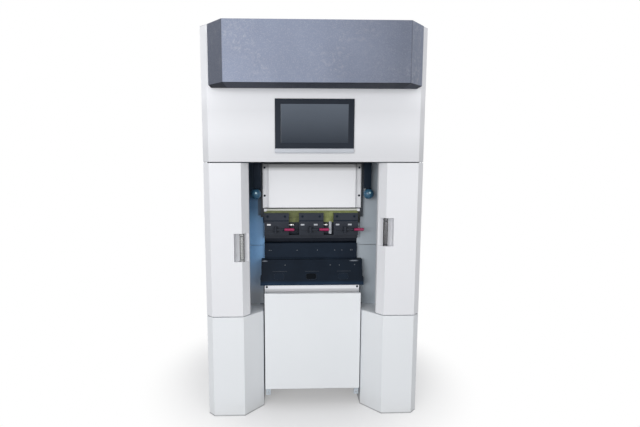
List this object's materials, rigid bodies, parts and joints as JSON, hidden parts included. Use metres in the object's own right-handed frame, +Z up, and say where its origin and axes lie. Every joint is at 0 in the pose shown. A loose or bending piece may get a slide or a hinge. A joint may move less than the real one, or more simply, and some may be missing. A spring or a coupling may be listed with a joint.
{
  "type": "electric servo press brake",
  "caption": "Compact upright press brake: white cabinet, sliding ram with clamps and punch over a V die, side doors, screen and dark header.",
  "frame": {"origin": "bottom centre of the bounding box, on the floor under the machine", "axes": "+Z up, -Y to the operator's side with the doors, screen and header, +X to the operator's right"},
  "size_m": [1.15, 1.35, 2.056],
  "materials": {
    "white_paint": "semi-gloss white paint on sheet metal",
    "grey_paint": "light grey paint on the inner panels",
    "frame_paint": "grey paint on thick plate",
    "fascia_paint": "dark textured paint with a fine hammered grain",
    "steel_bright": "ground steel",
    "tool_steel": "blued tool steel with ground edges",
    "clamp_steel": "blackened steel",
    "stainless": "brushed stainless steel",
    "beam_light": "yellow-green lit plastic bar",
    "grip_red": "red moulded plastic",
    "sensor_blue": "deep blue glossy plastic",
    "arm_black": "satin black powder coat",
    "bezel_black": "gloss black plastic",
    "screen": "dark glass over a lit screen",
    "trim_silver": "satin anodised aluminium"
  },
  "bodies": {
    "machine": {"pedestal_left": "white_paint", "pedestal_right": "white_paint", "frame_plates": "frame_paint", "crown_beam": "frame_paint", "bed_beam": "frame_paint", "bed_face": "white_paint", "bed_cover": "white_paint", "cover_brackets": "grey_paint", "die_holder": "tool_steel", "die": "tool_steel", "guide_rails": "steel_bright", "shroud_left": "grey_paint", "shroud_right": "grey_paint", "side_panels": "white_paint", "back_panels": "white_paint", "sensor_arms": "arm_black", "sensor_heads": "sensor_blue", "hinge_pins": "steel_bright", "housing_front": "white_paint", "housing_sides": "white_paint", "housing_back": "white_paint", "housing_roof": "white_paint", "housing_floor": "white_paint", "screen_bezel": "bezel_black", "screen_glass": "screen", "screen_trim": "trim_silver", "fascia": "fascia_paint"},
    "ram": {"ram_beam": "frame_paint", "ram_nose": "beam_light", "light_bar": "beam_light", "ram_cover": "white_paint", "punch": "tool_steel", "clamp_left": "clamp_steel", "clamp_middle": "clamp_steel", "clamp_right": "clamp_steel"},
    "left_door": {"door_left": "white_paint", "handle_left": "stainless"},
    "right_door": {"door_right": "white_paint", "handle_right": "stainless"},
    "left_lever": {"lever_arm_left": "clamp_steel", "lever_grip_left": "grip_red"},
    "middle_lever": {"lever_arm_middle": "clamp_steel", "lever_grip_middle": "grip_red"},
    "right_lever": {"lever_arm_right": "clamp_steel", "lever_grip_right": "grip_red"}
  },
  "joints": [
    {"name": "ram_slide", "type": "slide", "parent": "machine", "child": "ram", "axis": [0, 0, 1], "range_m": [0, 0.15]},
    {"name": "left_door_hinge", "type": "hinge", "parent": "machine", "child": "left_door", "pos_m": [-0.556, -0.482, 0.97], "axis": [0, 0, -1], "range_deg": [0, 100]},
    {"name": "right_door_hinge", "type": "hinge", "parent": "machine", "child": "right_door", "pos_m": [0.556, -0.482, 0.97], "axis": [0, 0, 1], "range_deg": [0, 100]},
    {"name": "left_lever_pivot", "type": "hinge", "parent": "ram", "child": "left_lever", "pos_m": [-0.206, -0.357, 1.01], "axis": [0, 0, -1], "range_deg": [0, 60]},
    {"name": "middle_lever_pivot", "type": "hinge", "parent": "ram", "child": "middle_lever", "pos_m": [-0.011, -0.357, 1.01], "axis": [0, 0, -1], "range_deg": [0, 60]},
    {"name": "right_lever_pivot", "type": "hinge", "parent": "ram", "child": "right_lever", "pos_m": [0.184, -0.357, 1.01], "axis": [0, 0, -1], "range_deg": [0, 60]}
  ]
}
